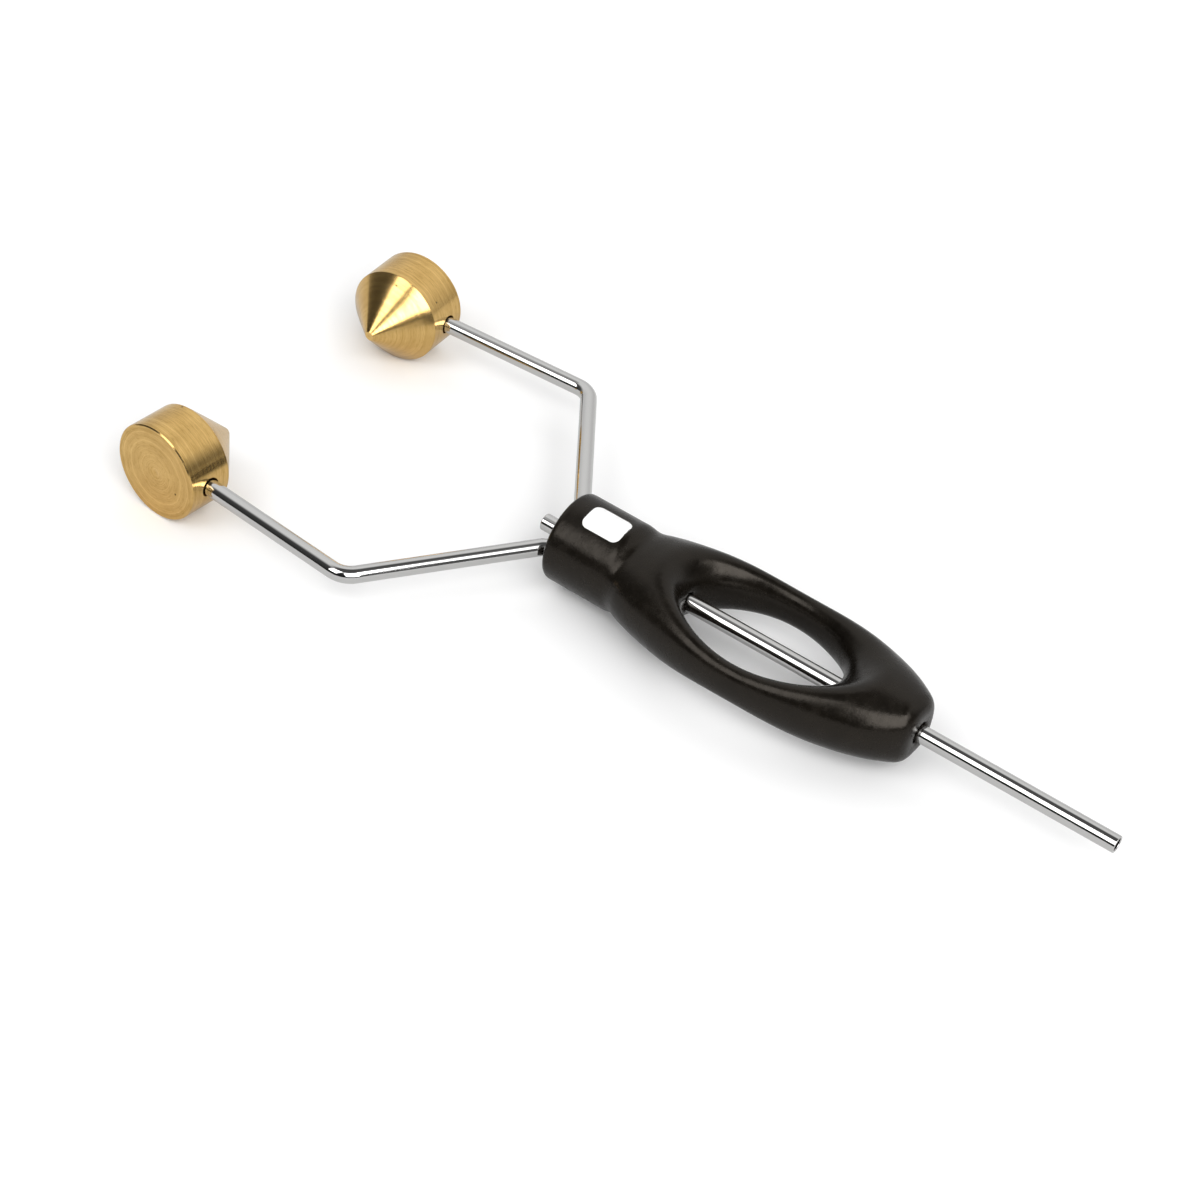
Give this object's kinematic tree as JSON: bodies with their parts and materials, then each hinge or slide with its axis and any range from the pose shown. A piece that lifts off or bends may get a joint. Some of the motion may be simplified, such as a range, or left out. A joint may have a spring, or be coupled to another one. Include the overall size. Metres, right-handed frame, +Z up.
{
  "type": "fly tying bobbin holder",
  "caption": "Fly-tying bobbin holder: an oval windowed grip on a steel thread tube, with sprung wire arms whose brass cone feet hold a spool of thread between them.",
  "frame": {"origin": "on the thread tube's axis, at the rear face of the handle's collar", "axes": "+X along the tube to its tip, +Y to the left arm, +Z up, square to the plane of the arms"},
  "size_m": [0.106, 0.044, 0.0108],
  "materials": {
    "grip": "satin soft-touch",
    "tube_steel": "polished",
    "wire_steel": "bright drawn",
    "brass": "turned"
  },
  "bodies": {
    "frame": {"handle": "grip", "thread_tube": "tube_steel", "left_arm_root": "wire_steel", "right_arm_root": "wire_steel"},
    "left_arm": {"left_arm": "wire_steel", "left_foot": "brass"},
    "right_arm": {"right_arm": "wire_steel", "right_foot": "brass"}
  },
  "joints": [
    {"name": "left_arm_flex", "type": "hinge", "parent": "frame", "child": "left_arm", "pos_m": [0.0013, 0.0029, 0], "axis": [0, 0, -1], "range_deg": [-8, 8], "stiffness_Nm_per_rad": 4.4},
    {"name": "right_arm_flex", "type": "hinge", "parent": "frame", "child": "right_arm", "pos_m": [0.0013, -0.0029, 0], "axis": [0, 0, 1], "range_deg": [-8, 8], "stiffness_Nm_per_rad": 4.4}
  ]
}
